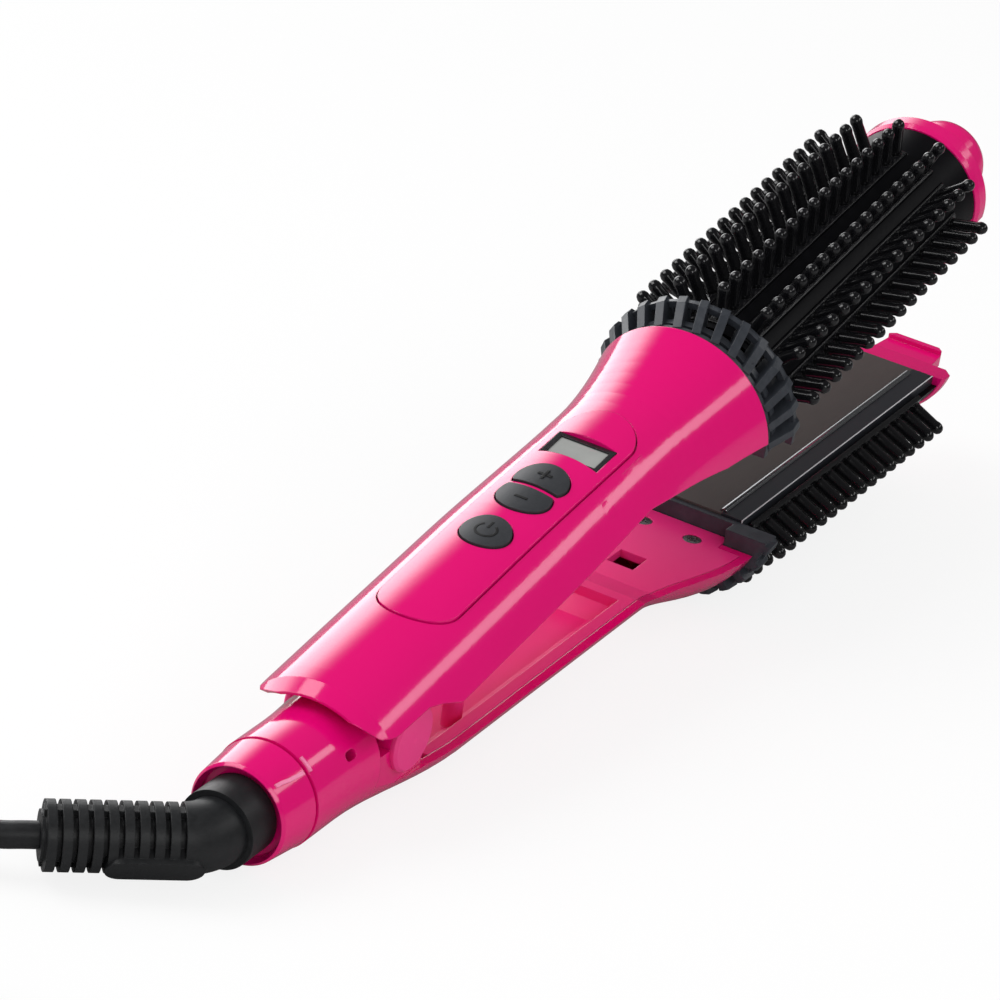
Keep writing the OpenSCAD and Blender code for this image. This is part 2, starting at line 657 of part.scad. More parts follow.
module tact_switches() color(black) place_upper() for (x = [power_x, pair_x - 4, pair_x + 4]) translate([x, 0, board_top]) {
    translate([-3, -3, 0]) cube([6, 6, 1.3]);
    cylinder(h = 2.3, r = 1.6);
}
module button_body() {
    intersection() {
        panel_body(panel_rise + 0.45);
        translate([0, 0, 10]) linear_extrude(30) children(0);
    }
    translate([0, 0, 14.7]) linear_extrude(1) children(0);
}
module button_plus() color(dark) place_upper() button_body() plus_outline(0);
module button_minus() color(dark) place_upper() button_body() minus_outline(0);
module button_power() color(dark) place_upper() button_body() power_outline(0);

// Tail swivel, elbow and strain relief
module on_elbow_end() translate([elbow_x, elbow_bend, 0]) rotate([0, 0, -elbow_deg])
    translate([0, -elbow_bend, 0]) rotate([0, -90, 0]) children();

module swivel_collar() color(black) place_lower() {
    difference() {
        union() {
            tube_x(elbow_x, 1.4, collar_r);
            tube_x(1, 12, journal_r);
            tube_x(flange_x, flange_x + flange_t, flange_r);
            tube_x(11, 20, spindle_r);
        }
        tube_x(elbow_x - 1, 21, 3);
    }
}
spindle_r = 5.5;
module slip_contacts() color([0.8, 0.65, 0.3]) place_lower() for (x = [14, 17]) difference() {
    tube_x(x, x + 1.6, journal_r + fit / 2);
    tube_x(x - 1, x + 3, spindle_r + gap);
}
// Oval pad along the outer side of the elbow and the first ribs
pad_deg = -30;
pad_x0 = -4;
pad_x1 = 15;
pad_half_w = 3.2;
module strain_relief() color(black) place_lower() {
    translate([elbow_x, elbow_bend, 0]) rotate([0, 0, -90 - elbow_deg])
        rotate_extrude(angle = elbow_deg, $fn = 64) translate([elbow_bend, 0]) circle(elbow_r);
    on_elbow_end() {
        cylinder(h = boot_l, r = boot_r - 1.9);
        translate([-boot_r + 0.6, -1.1, 0]) cube([2 * boot_r - 1.2, 2.2, boot_l - 0.4]);
        rotate([0, -90, pad_deg - 90]) translate([0, 0, -boot_r - 0.4]) linear_extrude(4) stadium(pad_x0, pad_x1, pad_half_w);
        for (i = [0 : boot_ribs - 1]) translate([0, 0, (i + 0.4) * (boot_l - 1) / boot_ribs])
            cylinder(h = 0.62 * boot_l / boot_ribs, r = boot_r);
    }
}

// Cord, on the surface: a free run, a coil of piled loops and a short lead to the plug
cord_r = cord_d / 2;
coil_lift = 1;
coil_pitch = cord_d + 0.5;
coil_layers = 4;
layer_turns = 13 / 6;
coil_mid_r = 30;
coil_out_r = coil_mid_r + layer_turns * coil_pitch / 2;
coil_rings = 24;
run_deg = 180;
run_dir = [cos(run_deg), sin(run_deg), 0];
boot_end = [elbow_x - elbow_bend * sin(elbow_deg) - boot_l * cos(elbow_deg),
            elbow_bend * (1 - cos(elbow_deg)) + boot_l * sin(elbow_deg), 0];
cord_exit = [boot_end[0] * cos(tilt) - mid_x, boot_end[1], boot_end[0] * sin(tilt) + lift];
exit_dir = [-cos(elbow_deg) * cos(tilt), sin(elbow_deg), -cos(elbow_deg) * sin(tilt)];
// Steps of the free run from the strain relief: along, across, and the height above the surface
RUN = [[-4, 5, 8.2], [-6.2, 8.6, 7.9], [-8.1, 12.4, 7.5], [-10.6, 16, 7], [-13.8, 19.3, 6.4], [-17.8, 22.3, 5.8],
       [-22.5, 24.8, 5.2], [-27.7, 26.6, 4.7], [-33.3, 27.6, 4.3], [-39, 28, 4], [-46, 28, 3.8], [-54, 28, 3.75],
       [-63, 28, 3.75], [-72, 28, 3.75], [-81, 28, 3.75]];
run_end = [cord_exit[0] - 90, cord_exit[1] + 28, cord_r + coil_lift];
coil_centre = run_end + cord_d * run_dir + coil_out_r * [-sin(run_deg), cos(run_deg), 0];
coil_deg = coil_layers * layer_turns * 360;

function coil_radius(a) = let (u = a / 360 / layer_turns, k = floor(u), v = u - k)
    coil_out_r - layer_turns * coil_pitch * (k % 2 == 0 ? v : 1 - v);
function coil_climb(a) = let (s = layer_turns * 360)
    [for (k = [1 : coil_layers - 1]) ease((a - k * s + 90) / 180)] * [for (k = [1 : coil_layers - 1]) 1];
function coil_at(a) = coil_centre + [coil_radius(a) * cos(a + run_deg - 90), coil_radius(a) * sin(a + run_deg - 90),
                                     coil_climb(a) * coil_pitch];
lead_deg = run_deg + coil_deg;
lead_dir = [cos(lead_deg), sin(lead_deg), 0];
coil_points = concat([run_end], [for (a = [0 : 360 / coil_rings : coil_deg - 1]) coil_at(a)],
                     [coil_at(coil_deg), coil_at(coil_deg) + cord_d * lead_dir]);
lead_start = coil_points[len(coil_points) - 1];
lead_left = [-sin(lead_deg), cos(lead_deg), 0];
plug_deg = lead_deg + 120;
plug_half_t = 6.8;
plug_z = coil_lift + (coil_layers - 1) * coil_pitch + cord_d + gap + plug_half_t;
// Steps of the lead, which turns back over the coil: ahead, to the left, and the share of the climb
LEAD = [[0, 0, 0], [5.5, 0, 0], [10.7, 0.55, 0.05], [15.7, 2.2, 0.18], [20.2, 4.8, 0.35], [24.1, 8.3, 0.55],
        [27.2, 12.5, 0.74], [29.3, 17.3, 0.9], [30.4, 22.4, 0.99], [30.4, 27.6, 1], [29.3, 32.7, 1], [27.2, 37.5, 1]];
turn_points = [for (p = LEAD) lead_start + p[0] * lead_dir + p[1] * lead_left + [0, 0, p[2] * (plug_z - lead_start[2])]];
plug_at = turn_points[len(LEAD) - 1] + cord_d * [cos(plug_deg), sin(plug_deg), 0];
lead_points = concat(turn_points, [plug_at]);
run_points = concat([cord_exit, cord_exit + 3 * exit_dir],
    [for (p = RUN) [cord_exit[0] + p[0], cord_exit[1] + p[1], p[2]]], [run_end]);

function path_l(p) = [for (i = [1 : len(p) - 1]) norm(p[i] - p[i - 1])] * [for (i = [1 : len(p) - 1]) 1];
coil_gap = min([for (i = [0 : len(coil_points) - 1]) for (j = [i + 12 : 1 : len(coil_points) - 1])
                norm(coil_points[i] - coil_points[j])]) - cord_d;
echo(cord_length = path_l(run_points) + path_l(coil_points) + path_l(lead_points), coil_gap = coil_gap);

module cord_run() color(black) swept(run_points, cord_r, 8);
module cord_coil() color(black) swept(coil_points, cord_r, 6);
module plug_lead() color(black) swept(lead_points, cord_r, 8);
tie_deg = 235;
module cord_tie() color(black) translate(coil_centre - [0, 0, coil_centre[2]]) rotate(tie_deg)
    translate([coil_mid_r, 0, 0]) difference() {
        tie_w = layer_turns * coil_pitch + cord_d + 2.4;
        tie_h = coil_lift + (coil_layers - 1) * coil_pitch + cord_d + 1;
        translate([-tie_w / 2, -3, 0]) cube([tie_w, 6, tie_h]);
        translate([-tie_w / 2 + 0.7, -4, 0.7]) cube([tie_w - 1.4, 8, tie_h - 1.4]);
    }
module at_plug() translate(plug_at) rotate([0, 0, plug_deg]) rotate([0, 90, 0]) children();
module plug_body() color(black) at_plug() {
    cylinder(h = 12, r1 = 4, r2 = 5);
    translate([plug_half_t, 0, 11]) rotate([0, -90, 0]) linear_extrude(2 * plug_half_t)
        polygon([[0, -5.5], [6, -8], [17, -17.6], [24, -17.6], [24, 17.6], [17, 17.6], [6, 8], [0, 5.5]]);
}
module plug_pins() color(steel) at_plug() for (s = [-1, 1]) translate([0, s * 9.3, 35]) {
    cylinder(h = 18, r = 2);
    translate([0, 0, 18]) cylinder(h = 1, r1 = 2, r2 = 1.2);
}

echo(tilt = tilt, lift = lift, mid_x = mid_x, hinge_x = hinge_x, hinge_z = hinge_z, open_deg = open_deg);
echo(cord_exit = cord_exit, exit_dir = exit_dir, coil_centre = coil_centre, plug_at = plug_at, plug_deg = plug_deg);
echo(run_points = run_points);
echo(coil_points = coil_points);
echo(lead_points = lead_points);

lower_handle_shell();
lower_handle_cover();
deck_screws();
tail_housing();
lock_ring();
hinge_pin();
hinge_covers();
arm_spring();
lower_heat_guard();
lower_barrel();
lower_bristles();
lower_plate();
plate_rails();
lower_heater();
lower_thermal_fuse();
lower_end_cap();
cap_screw();
upper_handle_shell();
upper_handle_base();
latch_hook();
base_screws();
control_panel();
display_bezel();
display_window();
lcd_module();
control_board();
tact_switches();
button_plus();
button_minus();
button_power();
upper_heat_guard();
upper_barrel();
upper_bristles();
upper_plate();
upper_heater();
upper_thermal_fuse();
upper_end_rim();
cool_tip();
swivel_collar();
slip_contacts();
strain_relief();
cord_run();
cord_coil();
plug_lead();
cord_tie();
plug_body();
plug_pins();
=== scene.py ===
# %% [markdown]
# # Dressing a two-arm hair styler
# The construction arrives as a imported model: shells, pins, plates, buttons and their joints, at
# their real size. This script gives every surface its finish, adds the cord, stouter brush pins
# and a few small marks, and sets up a plain studio picture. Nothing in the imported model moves.

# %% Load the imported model
import json
import math

import bmesh
import bpy
from mathutils import Matrix, Vector

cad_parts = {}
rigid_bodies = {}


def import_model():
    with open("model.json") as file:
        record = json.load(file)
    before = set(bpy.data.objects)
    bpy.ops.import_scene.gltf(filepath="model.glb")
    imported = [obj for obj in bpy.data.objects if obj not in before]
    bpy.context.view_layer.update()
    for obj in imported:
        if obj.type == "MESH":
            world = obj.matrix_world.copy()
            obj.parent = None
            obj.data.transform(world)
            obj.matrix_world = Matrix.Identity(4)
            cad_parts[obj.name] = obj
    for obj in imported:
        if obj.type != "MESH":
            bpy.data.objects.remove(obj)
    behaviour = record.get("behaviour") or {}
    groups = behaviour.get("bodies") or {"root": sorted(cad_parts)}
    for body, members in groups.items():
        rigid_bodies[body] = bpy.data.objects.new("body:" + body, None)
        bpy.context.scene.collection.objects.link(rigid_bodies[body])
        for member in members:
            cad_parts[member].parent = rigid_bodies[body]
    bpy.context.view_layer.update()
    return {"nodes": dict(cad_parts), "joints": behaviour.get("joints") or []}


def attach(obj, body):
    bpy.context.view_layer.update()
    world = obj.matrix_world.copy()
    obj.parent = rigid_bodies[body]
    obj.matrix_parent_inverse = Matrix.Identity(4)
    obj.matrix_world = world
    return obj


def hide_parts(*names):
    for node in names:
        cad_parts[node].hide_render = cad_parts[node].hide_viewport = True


for leftover in list(bpy.data.objects):
    bpy.data.objects.remove(leftover)
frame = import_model()
MM = 0.001

# %% [markdown]
# ## The arms' own axes
# The styler lies nose up, and its upper arm stands open, so nothing on it runs along the
# world's axes. Two matrices turn a place on the closed tool into its place here: x runs along
# the brush from the rear face of the lock ring, y to the left and z up. Both are read from the
# joints, so they follow the model if it changes.

# %% Matrices of the lower and upper arm
joints = {joint["name"]: joint for joint in frame["joints"]}
LEFT = Vector((0, 1, 0))
RING_JOINT_X = 5 * MM
along = Vector(joints["lock_turn"]["axis"]).normalized()
origin = Vector(joints["lock_turn"]["pos_m"]) - RING_JOINT_X * along
turned_axes = Matrix((along, LEFT, along.cross(LEFT))).transposed().to_4x4()
LOWER = Matrix.Translation(origin) @ turned_axes

hinge = Vector(joints["arm_hinge"]["pos_m"])
OPEN = math.radians(joints["arm_hinge"]["range_deg"][1])
opened = Matrix.Translation(hinge) @ Matrix.Rotation(-OPEN, 4, "Y") @ Matrix.Translation(-hinge)
UPPER = opened @ LOWER
tilt = math.degrees(math.atan2(along.z, along.x))
print(f"nose up by {tilt:.2f} degrees, open by {math.degrees(OPEN):.1f} degrees")

# %% [markdown]
# ## The camera
# A long lens stands behind the tail, to the right and above. Its place is an aim point on the
# tool, two angles, a roll and a distance, all measured against the lower arm's own axes. The
# image is square, 1000 by 1000, so the sensor's width alone sets the field of view.
#
# Three small helpers come first, because the cord, the lamps and the sky need them too. One
# adds an object, which Blender keeps apart from its data and shows only once it is linked to
# the scene. The others turn an angle seen from above into a direction, and a direction into
# the one to its left.

# %% Adding objects and reading directions
def add_object(name, data):
    """A new object at the origin, linked to the scene."""
    made = bpy.data.objects.new(name, data)
    bpy.context.scene.collection.objects.link(made)
    return made


def heading(turn):
    """The level direction at that angle, counted to the left from the x axis."""
    return Vector((math.cos(turn), math.sin(turn), 0))


def left_of(way):
    """The level direction a quarter turn to the left of another."""
    return Vector((-way.y, way.x, 0))


print("a quarter turn from straight ahead points along", left_of(heading(0)))

# %% Camera
AIM = LOWER @ (Vector((175.84, 39.3, -12.78)) * MM)
AZIMUTH = math.radians(25.52)
DOWNWARD = math.radians(26.7)
ROLL = math.radians(9.08)
DISTANCE = 0.95
LENS_MM = 148.34
SENSOR_MM = 36

ahead = math.cos(DOWNWARD) * heading(AZIMUTH) - Vector((0, 0, math.sin(DOWNWARD)))
level = -left_of(heading(AZIMUTH))
above = level.cross(ahead)
right = math.cos(ROLL) * level + math.sin(ROLL) * above
axes = turned_axes.to_3x3()
view = Matrix((axes @ right, axes @ right.cross(ahead), axes @ -ahead)).transposed()

lens = bpy.data.cameras.new("camera")
lens.lens = LENS_MM
lens.sensor_width = SENSOR_MM
camera = add_object("camera", lens)
camera.matrix_world = Matrix.Translation(AIM - axes @ ahead * DISTANCE) @ view.to_4x4()
bpy.context.scene.camera = camera
print("camera at", [round(value, 3) for value in camera.matrix_world.translation])

# %% [markdown]
# ## The cord's route
# The cord leaves the ribbed strain relief, bends down to the surface and runs out of the
# picture. The rest is wound into a round coil of four layers, spiralling in and out again, and
# a short lead climbs back over it to the plug, which lies on top. The free points are listed one
# by one and the coil is a formula, because a neat coil is a rule and a loose bend isn't.

# %% Points of the free run
CORD_D = 5.5 * MM
ELBOW_X, ELBOW_BEND, BOOT_L = -7 * MM, 9 * MM, 27 * MM
ELBOW_TURN = math.radians(50)
boot_end = Vector((
    ELBOW_X - ELBOW_BEND * math.sin(ELBOW_TURN) - BOOT_L * math.cos(ELBOW_TURN),
    ELBOW_BEND * (1 - math.cos(ELBOW_TURN)) + BOOT_L * math.sin(ELBOW_TURN),
    0,
))
cord_exit = LOWER @ boot_end
exit_way = (axes @ heading(math.pi - ELBOW_TURN)).normalized()
EXIT_STRAIGHT = 3 * MM
RUN = [
    (-4, 5, 8.2), (-6.2, 8.6, 7.9), (-8.1, 12.4, 7.5), (-10.6, 16, 7), (-13.8, 19.3, 6.4),
    (-17.8, 22.3, 5.8), (-22.5, 24.8, 5.2), (-27.7, 26.6, 4.7), (-33.3, 27.6, 4.3), (-39, 28, 4),
    (-46, 28, 3.8), (-54, 28, 3.75), (-63, 28, 3.75), (-72, 28, 3.75), (-81, 28, 3.75),
]
RUN_REACH, RUN_ASIDE, COIL_LIFT = 90 * MM, 28 * MM, 1 * MM
run_end = Vector((cord_exit.x - RUN_REACH, cord_exit.y + RUN_ASIDE, CORD_D / 2 + COIL_LIFT))
route = [cord_exit, cord_exit + EXIT_STRAIGHT * exit_way]
route += [Vector((cord_exit.x + x * MM, cord_exit.y + y * MM, z * MM)) for x, y, z in RUN]
route += [run_end]
print("run points:", len(route))

# %% [markdown]
# A coil that is wound by hand lies in flat layers. Here each layer is a spiral, and half a turn
# is spent on the climb to the next, eased at both ends so that no kink shows. A screw curve
# would be simpler, but it gives one tall spring and not a bundle.

# %% Points of the coil
COIL_MID_R, COIL_PITCH = 30 * MM, 6 * MM
LAYERS, LAYER_TURNS, CLIMB_TURNS, POINTS_PER_TURN = 4, 13 / 6, 0.5, 24
RUN_TURN = math.radians(180)
coil_out_r = COIL_MID_R + LAYER_TURNS * COIL_PITCH / 2
run_way = heading(RUN_TURN)
coil_centre = run_end + CORD_D * run_way + coil_out_r * left_of(run_way)


def ease(share):
    """Rises from 0 to 1 as the share does, slowly at both ends."""
    share = min(1, max(0, share))
    return share * share * (3 - 2 * share)


def coil_at(turns):
    """The cord's centre after that many turns: in on even layers, out on odd ones."""
    layer, part = divmod(turns / LAYER_TURNS, 1)
    inward = part if layer % 2 == 0 else 1 - part
    radius = coil_out_r - LAYER_TURNS * COIL_PITCH * inward
    layers_up = sum(ease((turns - step * LAYER_TURNS) / CLIMB_TURNS + 0.5)
                    for step in range(1, LAYERS))
    angle = turns * 2 * math.pi + RUN_TURN - math.pi / 2
    return coil_centre + radius * heading(angle) + Vector((0, 0, layers_up * COIL_PITCH))


ALL_TURNS = LAYERS * LAYER_TURNS
route += [coil_at(step / POINTS_PER_TURN) for step in range(int(ALL_TURNS * POINTS_PER_TURN))]
route += [coil_at(ALL_TURNS)]
print(f"coil: {ALL_TURNS:.2f} turns, {coil_out_r / MM:.1f} mm to the outer turn's middle")

# %% [markdown]
# The lead goes on from the coil's last turn. Each of its points is a reach straight on, a step
# aside and a share of the climb, so it bends away while it rises and arrives level.

# %% Points of the lead
lead_turn = RUN_TURN + ALL_TURNS * 2 * math.pi
lead_way = heading(lead_turn)
lead_left = left_of(lead_way)
lead_start = route[-1] + CORD_D * lead_way
PLUG_Z = 31.6 * MM
PLUG_TURN = lead_turn + math.radians(120)
LEAD = [
    (0, 0, 0), (5.5, 0, 0), (10.7, 0.55, 0.05), (15.7, 2.2, 0.18), (20.2, 4.8, 0.35),
    (24.1, 8.3, 0.55), (27.2, 12.5, 0.74), (29.3, 17.3, 0.9), (30.4, 22.4, 0.99), (30.4, 27.6, 1),
    (29.3, 32.7, 1), (27.2, 37.5, 1),
]
climb = Vector((0, 0, PLUG_Z - lead_start.z))
route += [lead_start + reach * MM * lead_way + aside * MM * lead_left + share * climb
          for reach, aside, share in LEAD]
route.append(route[-1] + CORD_D * heading(PLUG_TURN))
CORD_L = sum((b - a).length for a, b in zip(route, route[1:]))
print(f"cord: {len(route)} points, {CORD_L:.4f} m")

# %% [markdown]
# A curve with a round bevel is the plainest way to give a cord one even thickness. Its handles
# are automatic, so it passes smoothly through every point. The thickness is set at the points
# and the bevel is 1, because the box that Blender gives a curve grows by the points' radius.

# %% Cord
cord_line = bpy.data.curves.new("cord", "CURVE")
cord_line.dimensions = "3D"
cord_line.bevel_depth = 1
cord_line.bevel_resolution = 3
cord_line.resolution_u = 3
cord_line.use_fill_caps = True
spline = cord_line.splines.new("BEZIER")
spline.bezier_points.add(len(route) - 1)
for knot, point in zip(spline.bezier_points, route):
    knot.co = point
    knot.radius = CORD_D / 2
    knot.handle_left_type = knot.handle_right_type = "AUTO"
cord = add_object("cord", cord_line)
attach(cord, "cord_swivel")
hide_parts("cord_run", "cord_coil", "plug_lead")
print("cord knots:", len(spline.bezier_points))

# %% [markdown]
# ## Shader arithmetic
# A finish is a small sum of patterns. Wrapping a socket in a class that knows plus and times
# lets that sum be written as it would be on paper, and one method adds any other node. Wiring
# the nodes by hand would do the same, but a long sum gets hard to read in an editor. The same
# two classes serve the materials and the sky.

# %% A socket that can be added and multiplied
class Value:
    """An output socket, and the tree that it belongs to."""

    def __init__(self, nodes, socket):
        self.nodes, self.socket = nodes, socket

    def combine(self, operation, first, second):
        """Any Math node, between values or numbers."""
        return self.nodes.node("ShaderNodeMath", {"operation": operation}, {0: first, 1: second})

    def __add__(self, other):
        return self.combine("ADD", self, other)

    def __mul__(self, other):
        return self.combine("MULTIPLY", self, other)

    __radd__, __rmul__ = __add__, __mul__


# %% A tree that nodes are added to
class Nodes:
    """A node tree with a plain way to add to it."""

    def __init__(self, tree):
        self.tree = tree

    def feed(self, node, socket, value):
        """Links a value to a socket, or sets a constant on it."""
        if isinstance(value, Value):
            self.tree.links.new(value.socket, node.inputs[socket])
        else:
            node.inputs[socket].default_value = value

    def node(self, kind, settings=None, inputs=None, output=0):
        """Adds a node. Its settings come first, because they can change its sockets."""
        made = self.tree.nodes.new(kind)
        for name, value in (settings or {}).items():
            setattr(made, name, value)
        for socket, value in (inputs or {}).items():
            self.feed(made, socket, value)
        return Value(self, made.outputs[output])

    def mix(self, share, first, second):
        """A colour between two. Each is three numbers, or comes from a node."""
        ends = [(*end, 1) if isinstance(end, tuple) else end for end in (first, second)]
        return self.node("ShaderNodeMix", {"data_type": "RGBA"},
                         {0: share, 6: ends[0], 7: ends[1]}, 2)


# %% [markdown]
# A material is such a tree with a shader at its end. Its patterns are measured on the piece
# itself, so they need no unwrapping and move with it. No moulded edge is perfectly sharp, and
# a Bevel node rounds the light on every edge without adding a face.

# %% A material
BEVEL_SAMPLES = 6


class Paint(Nodes):
    """A new material. Values that are the same all over go straight onto the shader."""

    def __init__(self, name, fixed):
        self.material = bpy.data.materials.new(name)
        self.material.use_nodes = True
        super().__init__(self.material.node_tree)
        self.shader = self.tree.nodes["Principled BSDF"]
        for socket, value in fixed.items():
            self.feed(self.shader, socket, value)
        self.place = self.node("ShaderNodeTexCoord", output="Object")

    def noise(self, grain, detail=2.0, stretch=(1, 1, 1)):
        """Soft noise from 0 to 1, with grains of that size in metres, drawn out along an axis."""
        spot = self.node("ShaderNodeMapping", inputs={"Vector": self.place, "Scale": stretch})
        return self.node("ShaderNodeTexNoise",
                         inputs={"Vector": spot, "Scale": 1 / grain, "Detail": detail})

    def surface(self, colour, roughness):
        """The two sockets that every finish varies."""
        self.feed(self.shader, "Base Color", colour)
        self.feed(self.shader, "Roughness", roughness)

    def rounded(self, radius, height, depth):
        """Edges that catch light as if rounded, with a fine surface texture on top."""
        edge = self.node("ShaderNodeBevel", {"samples": BEVEL_SAMPLES}, {"Radius": radius})
        normal = self.node("ShaderNodeBump", inputs={"Strength": 1.0, "Distance": depth,
                                                     "Height": height, "Normal": edge})
        self.feed(self.shader, "Normal", normal)
        return self.material


# %% [markdown]
# ## Finishes
# The shells are moulded in a saturated pink with a wet gloss: clear resin over pigment, hardly
# any scatter, and the faint ripple that a steel mould leaves. The deck between the arms is the
# same plastic with a fine satin texture, and its colour is painted paler as a painted sheen for
# that texture. Every finish has its own grain, because two plastics from one mould shop still
# never look alike.

# %% Pink plastics
PINK = (0.76, 0.002, 0.168)
PINK_DEEP = (0.66, 0.001, 0.13)
PINK_PAINTED_SHEEN = (0.88, 0.05, 0.27)


def gloss_pink(name, roughness=0.09):
    paint = Paint(name, {"IOR": 1.5, "Coat Weight": 0.35, "Coat Roughness": 0.04})
    flow = paint.noise(0.03, 1.0)
    ripple = paint.noise(0.004, 2.0)
    paint.surface(paint.mix(flow * 0.5, PINK, PINK_DEEP),
                  roughness + 0.06 * paint.noise(0.0015, 3.0))
    return paint.rounded(0.35 * MM, ripple, 0.02 * MM)


def satin_pink(name):
    paint = Paint(name, {"IOR": 1.5})
    grain = paint.noise(0.00035, 2.0)
    # The paler pink mixed in here is a painted sheen for the satin texture.
    paint.surface(paint.mix(0.35 + 0.3 * paint.noise(0.02), PINK, PINK_PAINTED_SHEEN), 0.3 + 0.14 * grain)
    return paint.rounded(0.3 * MM, grain, 0.02 * MM)


pink = gloss_pink("pink gloss")
pink_cap = gloss_pink("pink cap", 0.16)
pink_satin = satin_pink("pink satin")
print("pinks:", pink.name, pink_cap.name, pink_satin.name)

# %% [markdown]
# The guards are a dark heat-resistant nylon, greyer and duller than the pins, with a mottled
# sheen. The pins and their strips are a wet-looking black, the barrel under them hardly shines
# at all, and the cord's rubber is dull.

# %% Dark plastics
DARK_EDGE = 0.25 * MM


def mottled(name, low, high, grain, rough, spread, coat=0.0, depth=0.03 * MM, specular=0.5):
    """Plastic whose colour and roughness wander together, between low and high."""
    paint = Paint(name, {"IOR": 1.48, "Specular IOR Level": specular,
                         "Coat Weight": coat, "Coat Roughness": 0.08})
    mottle = paint.noise(grain, 3.0)
    paint.surface(paint.mix(mottle, low, high), rough + spread * mottle)
    return paint.rounded(DARK_EDGE, paint.noise(grain / 4, 2.0), depth)


nylon = mottled("guard nylon", (0.018, 0.021, 0.027), (0.05, 0.056, 0.068), 0.0022, 0.2, 0.3)
black_gloss = mottled("pin black", (0.003, 0.003, 0.004), (0.007, 0.007, 0.008), 0.003,
                      0.12, 0.08, coat=0.3, depth=0.01 * MM)
barrel_black = mottled("barrel black", (0.002, 0.002, 0.003), (0.005, 0.005, 0.006), 0.004,
                       0.34, 0.08, depth=0.008 * MM, specular=0.08)
rubber = mottled("cord rubber", (0.007, 0.0075, 0.0085), (0.015, 0.016, 0.018), 0.0012,
                 0.36, 0.2)
button_black = mottled("button black", (0.028, 0.03, 0.034), (0.042, 0.044, 0.05), 0.0015,
                       0.34, 0.12)
bezel_black = mottled("bezel black", (0.01, 0.01, 0.012), (0.02, 0.02, 0.023), 0.002,
                      0.18, 0.08, coat=0.2)
print("dark plastics:", nylon.name, black_gloss.name, barrel_black.name, rubber.name,
      button_black.name, bezel_black.name)

# %% [markdown]
# Rails, plug pins, springs and screws are bare bright metal. One pattern drives its colour,
# roughness and relief alike, so that a bright line is also a smooth one. On the rails and the
# contacts it is stretched along one axis, as polishing leaves it.

# %% Metals
METAL_EDGE = 0.15 * MM


def metal(name, low, high, stretch, rough, spread):
    """Bare metal with fine lines along the axis that the stretch draws out."""
    paint = Paint(name, {"Metallic": 1.0})
    lines = paint.noise(0.0006, 3.0, stretch)
    paint.surface(paint.mix(lines, low, high), rough + spread * lines)
    return paint.rounded(METAL_EDGE, lines, 0.004 * MM)


chrome = metal("rail chrome", (0.42, 0.43, 0.45), (0.5, 0.51, 0.53), (0.1, 1, 1), 0.12, 0.08)
steel = metal("screw steel", (0.3, 0.3, 0.31), (0.52, 0.52, 0.53), (1, 1, 1), 0.2, 0.16)
brass = metal("contact brass", (0.72, 0.5, 0.2), (0.85, 0.66, 0.32), (1, 1, 0.3), 0.2, 0.14)
print("metals:", chrome.name, steel.name, brass.name)

# %% [markdown]
# The heated plates carry a thin dark coating on aluminium: brown between the two rails, with
# fine lines along the plate, and a bluer black beyond them. Along the plate's long edge a pale
# band is painted on, a painted highlight for the bare metal edge. One material does it all, by
# asking how far to the side a place lies.

# %% Plate coating
PLATE_RAIL_Y, PLATE_EDGE_Y, PLATE_SIDE_Y = 8.8 * MM, 14.05 * MM, 14.37 * MM
BROWN_DARK, BROWN_LIGHT = (0.062, 0.05, 0.048), (0.078, 0.064, 0.061)
# The pale grey at the long edge is a painted highlight on its bare metal.
BEYOND_RAIL, EDGE_PAINTED_HIGHLIGHT = (0.02, 0.021, 0.026), (0.62, 0.62, 0.64)


def plate_coating():
    """Brown between the rails, a bluer black beyond them, and a painted highlight along the bare
    edge.
    """
    paint = Paint("plate coating", {"Specular IOR Level": 0.3})
    lines = paint.noise(0.0008, 2.0, (0.05, 1, 1))
    side = paint.node("ShaderNodeSeparateXYZ", inputs={0: paint.place}, output=1)
    aside = side.combine("ABSOLUTE", side, 0)
    past_rail = side.combine("GREATER_THAN", aside, PLATE_RAIL_Y)
    past_edge = side.combine("GREATER_THAN", aside, PLATE_EDGE_Y)
    before_side = side.combine("LESS_THAN", aside, PLATE_SIDE_Y)
    coated = paint.mix(past_rail, paint.mix(lines, BROWN_DARK, BROWN_LIGHT), BEYOND_RAIL)
    paint.surface(paint.mix(past_edge * before_side, coated, EDGE_PAINTED_HIGHLIGHT), 0.28 + 0.06 * lines)
    return paint.rounded(METAL_EDGE, lines, 0.001 * MM)


plate_coat = plate_coating()
print("plate:", plate_coat.name, "with", len(plate_coat.node_tree.nodes), "nodes")

# %% [markdown]
# The rest is small: the heaters' ceramic, the boards' green lacquer, the display's pale window,
# the dark marks on the buttons and the ring's raised line. The line and its tick are painted a
# paler pink than the ring, a painted highlight for their lit edges. All of them are the mottled
# plastic again, with their own colours and grain.

# %% Small parts and marks
SMALL_SPREAD = 0.15
ceramic = mottled("heater ceramic", (0.7, 0.66, 0.58), (0.82, 0.79, 0.72), 0.001,
                  0.5, SMALL_SPREAD)
board_green = mottled("board lacquer", (0.012, 0.12, 0.045), (0.02, 0.18, 0.07), 0.002,
                      0.3, SMALL_SPREAD)
glass_grey = mottled("display window", (0.3, 0.31, 0.3), (0.4, 0.41, 0.395), 0.006,
                     0.05, 0.05, coat=0.6)
mark_dark = mottled("pressed mark", (0.003, 0.003, 0.004), (0.006, 0.006, 0.007), 0.0008,
                    0.5, SMALL_SPREAD)
# Paler than the ring: a painted highlight for the raised line's lit edges.
pink_painted_highlight = mottled("pink line painted highlight", (0.84, 0.16, 0.36), (0.88, 0.24, 0.42), 0.0008,
                      0.1, SMALL_SPREAD)
print("small parts:", ceramic.name, board_green.name, glass_grey.name, mark_dark.name,
      pink_painted_highlight.name)

# %% [markdown]
# ## Giving each piece its finish
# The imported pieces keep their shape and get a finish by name. Each finish lists its pieces, so
# the whole choice stands in one table, and the last line tells whether a piece was forgotten.

